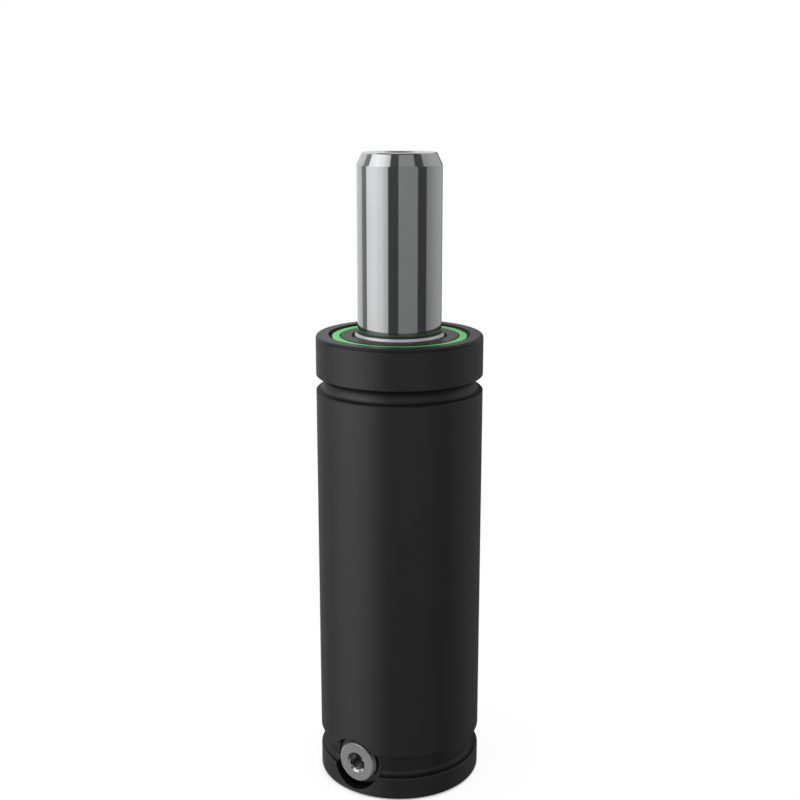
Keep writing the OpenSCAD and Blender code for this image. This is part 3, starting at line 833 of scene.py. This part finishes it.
# Painted light: a lighter steel for the collar's edge and upper side.
collar_light_steel = finish_material(
    "plug_collar_painted_light", (0.6, 0.6, 0.6), (0.68, 0.68, 0.68), (0.36, 0.46), axis="port", Metallic=0.5,
)
plug = turn("plug", [
    (0, plug_end),
    (shank_r - collar_edge, plug_end),
    (shank_r, plug_end + collar_edge),
    (shank_r, collar_foot),
    (plug_r, collar_foot),
    (plug_r, collar_shade_end),
    (plug_r, plug_face - collar_edge),
    (plug_r - collar_edge, plug_face),
    (0, plug_face),
], sides=port_sides)
socket = turn("socket_cutter", [
    (0, hex_floor),
    (hex_corner_r, hex_floor),
    (hex_corner_r, plug_face + cut),
    (0, plug_face + cut),
], sides=hex_sides)
socket_point = turn("point_cutter", [
    (0, hex_floor - hex_flats / 2 * drill_point),
    (hex_flats / 2, hex_floor),
    (hex_flats / 2, hex_floor + cut),
    (0, hex_floor + cut),
], sides=drill_sides)
socket_mouth = turn("mouth_cutter", [
    (0, plug_face - hex_mouth_r),
    (hex_mouth_r + cut, plug_face + cut),
    (0, plug_face + cut),
], sides=hole_sides)
cut_out(plug, socket, socket_point, socket_mouth)
lay_along_port(plug)
finish_piece(plug, plug_steel, "cylinder", "plug_steel", "port_plug")
# The collar's edge and upper side are painted lighter, a painted light.
paint_where(plug, collar_light_steel, port_ring(plug_r - collar_edge, plug_r, collar_shade_end, plug_face))
# The socket's mouth chamfer is painted brighter, a painted highlight.
paint_where(plug, socket_highlight_steel, port_ring(hex_flats / 2, hex_mouth_r, plug_face - hex_mouth_r, plug_face))
paint_where(plug, socket_steel, port_hole(hex_corner_r, plug_face - hex_chamfer))
# The collar's lower side is painted near black, a painted shade.
paint_where(plug, near_black_shade, port_ring(shank_r, plug_r, collar_foot, collar_shade_end))

# Valve spring
# A small coil of drawn wire with a closed turn at each end, which shuts the valve behind the plug.
# It stands on the floor of its bore and gets shorter as the poppet is pushed in.
spring_low, spring_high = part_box("valve_spring")
spring_foot = -spring_high.y
spring_head = -spring_low.y
spring_wire = 0.45 * MM
spring_turns = 4.5
wire_steps = 24
wire_sides = 12
spring_steel = finish_material(
    "spring_wire", (0.3, 0.305, 0.31), (0.38, 0.385, 0.39), (0.25, 0.38), grain_height=0.001, Metallic=1,
)
spring_pitch = (spring_head - spring_foot - 3 * spring_wire) / (spring_turns - 2)


def wire_height(turns):
    """Height of the wire's middle after so many turns, with the first and the last turn closed."""
    closed = min(turns, 1) + max(turns - spring_turns + 1, 0)
    open_turns = min(max(turns - 1, 0), spring_turns - 2)
    return spring_foot + spring_wire * (0.5 + closed) + spring_pitch * open_turns


bpy.ops.object.select_all(action="DESELECT")
bpy.ops.mesh.primitive_circle_add(
    vertices=wire_sides, radius=spring_wire / 2,
    location=(spring_high.x - spring_wire / 2, 0, 0), rotation=(math.pi / 2, 0, 0),
)
spring = bpy.context.object
spring.name = "valve_coil_spring"
bpy.ops.object.transform_apply(location=True, rotation=True)
wind_up(spring, spring_turns, wire_steps, wire_height)
lay_along_port(spring)
finish_piece(spring, spring_steel, "cylinder", "spring_steel", "valve_spring")
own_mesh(spring)

# Inner pieces
# Bush, seals, rings and charging valve, hidden in the closed cylinder.
# They keep the shapes of the frame and get the finish of their own material.
bush_bronze = finish_material(
    "sintered_bronze", (0.36, 0.22, 0.08), (0.48, 0.31, 0.12), (0.35, 0.5),
    grains_per_mm=12, grain_height=0.004, Metallic=1,
)
seal_polyurethane = finish_material(
    "seal_polyurethane", (0.04, 0.13, 0.06), (0.06, 0.18, 0.08), (0.35, 0.5), grain_height=0.002,
)
backing_plastic = finish_material(
    "backing_plastic", (0.6, 0.56, 0.48), (0.72, 0.68, 0.6), (0.4, 0.5), lines_per_mm=5, line_height=0.002,
)
retainer_steel = finish_material(
    "retainer_steel", (0.19, 0.195, 0.2), (0.25, 0.255, 0.26), (0.3, 0.45),
    lines_per_mm=6, line_height=0.001, Metallic=1,
)
nitrile_rubber = finish_material(
    "nitrile_rubber", (0.006, 0.006, 0.006), (0.011, 0.011, 0.011), (0.5, 0.65), grain_height=0.003,
)
wear_plastic = finish_material(
    "wear_strip_plastic", (0.11, 0.055, 0.028), (0.17, 0.085, 0.042), (0.45, 0.6), grain_height=0.004,
)
valve_brass = finish_material(
    "valve_brass", (0.45, 0.3, 0.1), (0.55, 0.38, 0.14), (0.2, 0.35),
    lines_per_mm=8, line_height=0.0008, axis="port", Metallic=1,
)
for material, *nodes in (
    (bush_bronze, "guide_bush"),
    (seal_polyurethane, "rod_seal"),
    (backing_plastic, "seal_backup_ring", "guide_backup_ring"),
    (retainer_steel, "seal_retainer"),
    (nitrile_rubber, "guide_o_ring", "valve_o_ring", "valve_poppet_seal", "port_plug_seal"),
    (spring_steel, "lock_ring"),
    (wear_plastic, "piston_wear_ring"),
    (valve_brass, "valve_body", "valve_poppet"),
):
    for node in nodes:
        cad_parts[node].material_slots[0].material = material

# Camera
# It stands a little above the rod's end and looks down along the spring, from the port's right.
# Its lens is a little longer than normal, and nothing is out of focus.
camera_turn = math.radians(34.4)
camera_pitch = math.radians(13.679)
camera_distance = 361.76 * MM
camera_height = 207.51 * MM
camera_lens = 55.49
camera_sensor = 36
camera_shift = 0.00056
camera_near = 10 * MM
scene = bpy.context.scene
camera = bpy.data.objects.new("camera", bpy.data.cameras.new("camera"))
camera.data.lens = camera_lens
camera.data.sensor_width = camera_sensor
camera.data.shift_x = camera_shift
camera.data.clip_start = camera_near
camera.location = (
    camera_distance * math.sin(camera_turn), -camera_distance * math.cos(camera_turn), camera_height,
)
camera.rotation_euler = (math.pi / 2 - camera_pitch, 0, camera_turn)
scene.collection.objects.link(camera)
scene.camera = camera
scene.view_settings.view_transform = "Standard"

# Studio
# White all round for the camera. Steel sees a bright panel on the left, dark gaps and grey walls.
# A wide soft lamp overhead lights the top faces, and a small one the right side.
overhead_place = (0, -120 * MM, 950 * MM)
overhead_size = 800 * MM
overhead_energy = 9
side_turn = camera_turn + math.radians(70)
side_distance = 600 * MM
side_place = (side_distance * math.sin(side_turn), -side_distance * math.cos(side_turn), 150 * MM)
side_size = 300 * MM
side_energy = 0.6
studio = bpy.data.worlds.new("studio")
scene.world = studio
studio.use_nodes = True
tree = studio.node_tree
tree.nodes.clear()
direction = tree.nodes.new("ShaderNodeTexCoord").outputs["Generated"]
facing = tree.nodes.new("ShaderNodeMapping")
facing.vector_type = "VECTOR"
facing.inputs["Rotation"].default_value = (0, 0, -camera_turn)
tree.links.new(direction, facing.inputs["Vector"])
split = tree.nodes.new("ShaderNodeSeparateXYZ")
tree.links.new(facing.outputs["Vector"], split.inputs[0])
towards = math_node(tree, "MULTIPLY", split.outputs["Y"], -1)
turn_angle = math_node(tree, "ARCTAN2", split.outputs["X"], towards)
wall_levels = [
    (-180, 0.9), (-121.5, 0.68), (-119.5, 0.26), (-100.5, 0.21), (-98.5, 0.95), (-73, 1.07), (-50, 0.92),
    (-39, 0.7), (-33, 0.65), (-29, 0.07), (-4, 0.07), (-2, 0.28), (48, 0.27), (51, 0.06), (75.5, 0.06),
    (78.5, 0.26), (115, 0.42), (140, 0.46), (154, 0.46), (158, 0.16), (174, 0.16), (177, 0.9), (180, 0.9),
]
height_levels = [
    (-1, 0.15), (-0.75, 0.25), (-0.46, 0.55), (-0.32, 0.66), (-0.2, 0.86), (-0.04, 1.02), (0.02, 0.78),
    (0.08, 0.78), (0.13, 1), (0.2, 1), (0.6, 1.32), (0.78, 1.15), (0.9, 0.18), (1, 0.15),
]


def level_ramp(tree, value, levels):
    """Light levels at these values, from the first to the last; gives the level's socket."""
    first, last = levels[0][0], levels[-1][0]
    ramp = tree.nodes.new("ShaderNodeValToRGB")
    way = math_node(tree, "SUBTRACT", value, first)
    tree.links.new(math_node(tree, "DIVIDE", way, last - first), ramp.inputs["Fac"])
    stops = ramp.color_ramp.elements
    stops[0].position, stops[1].position = 0, 1
    for place, level in levels:
        share = (place - first) / (last - first)
        if share in (0, 1):
            stop = stops[0] if share == 0 else stops[-1]
        else:
            stop = stops.new(share)
        stop.color = (level, level, level, 1)
    return ramp.outputs["Color"]


walls = level_ramp(tree, math_node(tree, "DEGREES", turn_angle), wall_levels)
heights = level_ramp(tree, split.outputs["Z"], height_levels)
room = tree.nodes.new("ShaderNodeBackground")
tree.links.new(walls, room.inputs["Color"])
tree.links.new(heights, room.inputs["Strength"])
backdrop = tree.nodes.new("ShaderNodeBackground")
backdrop.inputs["Color"].default_value = (1, 1, 1, 1)
seen = tree.nodes.new("ShaderNodeLightPath").outputs["Is Camera Ray"]
either = tree.nodes.new("ShaderNodeMixShader")
tree.links.new(seen, either.inputs["Fac"])
tree.links.new(room.outputs[0], either.inputs[1])
tree.links.new(backdrop.outputs[0], either.inputs[2])
tree.links.new(either.outputs[0], tree.nodes.new("ShaderNodeOutputWorld").inputs["Surface"])


def soft_lamp(name, place, size, energy):
    """A round lamp that shines on the foot of the object and isn't mirrored in its steel."""
    lamp = bpy.data.objects.new(name, bpy.data.lights.new(name, "AREA"))
    lamp.data.shape = "DISK"
    lamp.data.size = size
    lamp.data.energy = energy
    lamp.location = place
    lamp.rotation_euler = (-lamp.location).to_track_quat("-Z", "Y").to_euler()
    lamp.visible_glossy = False
    scene.collection.objects.link(lamp)


soft_lamp("overhead_lamp", overhead_place, overhead_size, overhead_energy)
soft_lamp("side_lamp", side_place, side_size, side_energy)

# Floor
# A plain white sheet that fades into the white of the backdrop, with a faint shadow at the foot.
# It is clear from below, so that the underside can be looked at.
floor_size = 6000 * MM
floor_drop = 0.2 * MM
paper_tone = 0.9
shadow_share = 0.09
shadow_reach = 70 * MM
shadow_shift = 0.9 * MM
contact_share = 0.6
bpy.ops.object.select_all(action="DESELECT")
bpy.ops.mesh.primitive_plane_add(size=floor_size, location=(0, 0, -floor_drop))
floor = bpy.context.object
floor.name = "floor"
paper = bpy.data.materials.new("floor_paper")
paper.use_nodes = True
tree = paper.node_tree
tree.nodes.clear()
matte = tree.nodes.new("ShaderNodeBsdfDiffuse")
matte.inputs["Color"].default_value = (paper_tone, paper_tone, paper_tone, 1)
glow = tree.nodes.new("ShaderNodeEmission")
place = tree.nodes.new("ShaderNodeTexCoord").outputs["Object"]
reach = tree.nodes.new("ShaderNodeVectorMath")
reach.operation = "DISTANCE"
reach.inputs[1].default_value = (0, -shadow_shift, 0)
tree.links.new(place, reach.inputs[0])
fade = level_ramp(tree, reach.outputs["Value"], [
    (body_r - foot_round, 1 - contact_share), (body_r + foot_round, 1 - shadow_share), (shadow_reach, 1),
])
blend = tree.nodes.new("ShaderNodeMixShader")
tree.links.new(fade, blend.inputs["Fac"])
tree.links.new(matte.outputs[0], blend.inputs[1])
tree.links.new(glow.outputs[0], blend.inputs[2])
one_sided = tree.nodes.new("ShaderNodeMixShader")
tree.links.new(tree.nodes.new("ShaderNodeNewGeometry").outputs["Backfacing"], one_sided.inputs["Fac"])
tree.links.new(blend.outputs[0], one_sided.inputs[1])
tree.links.new(tree.nodes.new("ShaderNodeBsdfTransparent").outputs[0], one_sided.inputs[2])
tree.links.new(one_sided.outputs[0], tree.nodes.new("ShaderNodeOutputMaterial").inputs["Surface"])
floor.data.materials.append(paper)
floor.visible_glossy = False
floor.visible_diffuse = False
